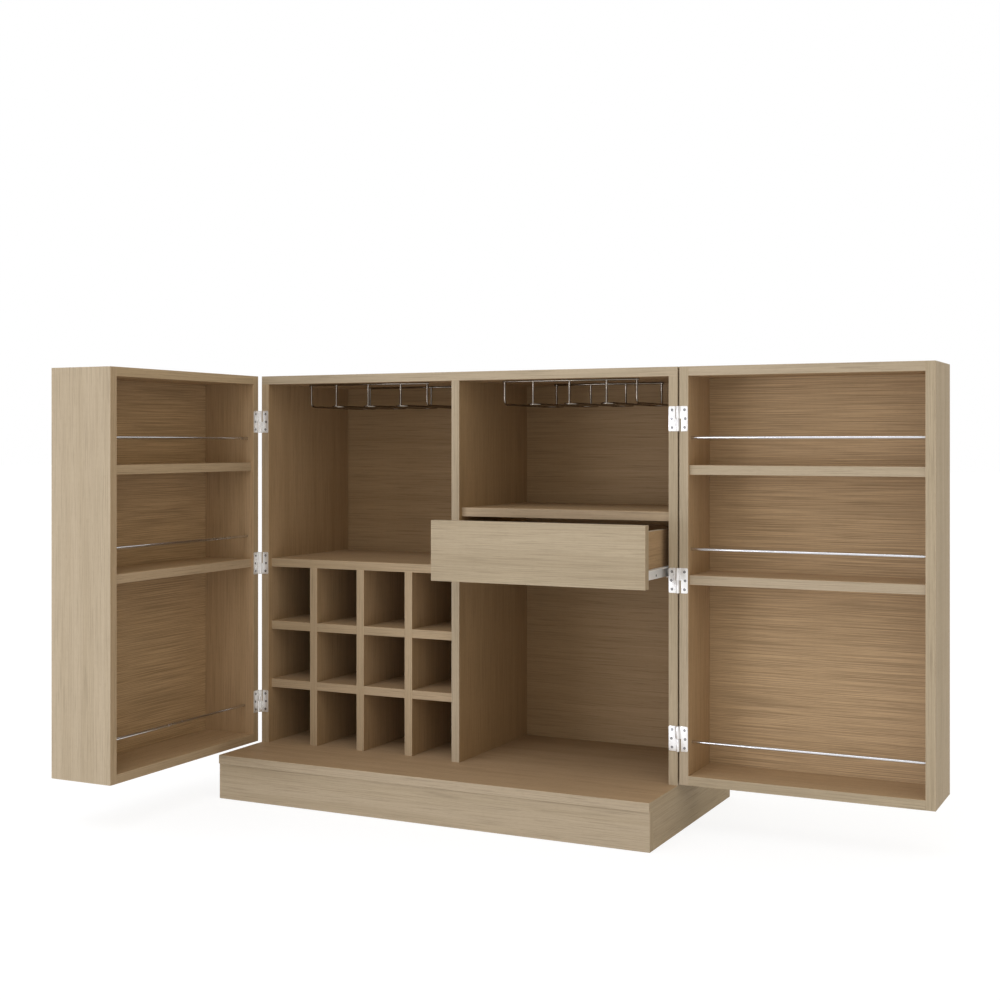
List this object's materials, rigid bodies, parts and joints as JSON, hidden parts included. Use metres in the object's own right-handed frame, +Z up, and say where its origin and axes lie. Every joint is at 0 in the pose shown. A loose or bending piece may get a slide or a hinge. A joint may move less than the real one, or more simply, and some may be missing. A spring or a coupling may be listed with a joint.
{
  "type": "bar armoire",
  "caption": "Low bar cabinet on a plinth: deep shelved doors swing wide open beside hanging stemware racks, a grid of bottle cells and a drawer, in light oak board.",
  "frame": {"origin": "on the floor, under the middle of the plinth", "axes": "+X to the right seen from the front, +Y to the back, +Z up"},
  "size_m": [1.3275, 0.6775, 0.743],
  "materials": {
    "oak_board": "matte light oak foil with fine straight grain",
    "oak_back": "matte light oak foil on thin fibreboard",
    "dowel_beech": "plain beech",
    "rack_chrome": "bright plated wire",
    "rail_steel": "satin steel rod",
    "hinge_nickel": "bright nickel plate",
    "screw_steel": "zinc plated",
    "slide_white": "white epoxy coat",
    "roller_nylon": "white nylon"
  },
  "bodies": {
    "cabinet": {"plinth_front_board": "oak_board", "plinth_back_board": "oak_board", "plinth_left_board": "oak_board", "plinth_right_board": "oak_board", "plinth_centre_rail": "oak_board", "plinth_top_board": "oak_board", "left_side_panel": "oak_board", "right_side_panel": "oak_board", "centre_divider": "oak_board", "top_panel": "oak_board", "left_shelf": "oak_board", "drawer_shelf": "oak_board", "wine_upright_left": "oak_board", "wine_upright_middle": "oak_board", "wine_upright_right": "oak_board", "wine_shelf_lower": "oak_board", "wine_shelf_upper": "oak_board", "back_panel": "oak_back", "carcass_dowels": "dowel_beech", "left_rack_runner": "rack_chrome", "left_rack_hangers": "rack_chrome", "right_rack_runner": "rack_chrome", "right_rack_hangers": "rack_chrome", "rack_screws": "screw_steel", "body_hinge_leaves": "hinge_nickel", "body_hinge_screws": "screw_steel", "left_cabinet_channel": "slide_white", "right_cabinet_channel": "slide_white", "cabinet_channel_screws": "screw_steel"},
    "drawer": {"drawer_front": "oak_board", "drawer_left_side": "oak_board", "drawer_right_side": "oak_board", "drawer_back": "oak_board", "drawer_bottom": "oak_back", "left_drawer_runner": "slide_white", "right_drawer_runner": "slide_white", "drawer_runner_screws": "screw_steel"},
    "left_door": {"left_door_hinge_stile": "oak_board", "left_door_free_stile": "oak_board", "left_door_top": "oak_board", "left_door_bottom": "oak_board", "left_door_outer_panel": "oak_board", "left_door_lower_shelf": "oak_board", "left_door_upper_shelf": "oak_board", "left_door_rails": "rail_steel", "left_door_hinge_leaves": "hinge_nickel", "left_door_hinge_screws": "screw_steel"},
    "right_door": {"right_door_hinge_stile": "oak_board", "right_door_free_stile": "oak_board", "right_door_top": "oak_board", "right_door_bottom": "oak_board", "right_door_outer_panel": "oak_board", "right_door_lower_shelf": "oak_board", "right_door_upper_shelf": "oak_board", "right_door_rails": "rail_steel", "right_door_hinge_leaves": "hinge_nickel", "right_door_hinge_screws": "screw_steel"},
    "front_rollers": {"front_rollers": "roller_nylon"},
    "rear_rollers": {"rear_rollers": "roller_nylon"}
  },
  "joints": [
    {"name": "right_door_hinge", "type": "hinge", "parent": "cabinet", "child": "right_door", "pos_m": [0.4015, -0.0765, 0.4], "axis": [0, 0, 1], "range_deg": [-180, 0]},
    {"name": "left_door_hinge", "type": "hinge", "parent": "cabinet", "child": "left_door", "pos_m": [-0.4015, -0.0765, 0.4], "axis": [0, 0, -1], "range_deg": [-90, 90]},
    {"name": "drawer_slide", "type": "slide", "parent": "cabinet", "child": "drawer", "axis": [0, -1, 0], "range_m": [-0.104, 0]},
    {"name": "front_roller_spin", "type": "hinge", "parent": "cabinet", "child": "front_rollers", "pos_m": [0.19625, -0.0455, 0.415], "axis": [1, 0, 0], "range_deg": [-917, 0]},
    {"name": "rear_roller_spin", "type": "hinge", "parent": "drawer", "child": "rear_rollers", "pos_m": [0.19625, 0.0645, 0.4132], "axis": [1, 0, 0], "range_deg": [-917, 0]}
  ],
  "couplings": [
    {"joint": "drawer_slide", "follows": "right_door_hinge", "m_per_rad": 0.0331},
    {"joint": "front_roller_spin", "follows": "right_door_hinge", "ratio": 5.0923},
    {"joint": "rear_roller_spin", "follows": "right_door_hinge", "ratio": 5.0923}
  ]
}
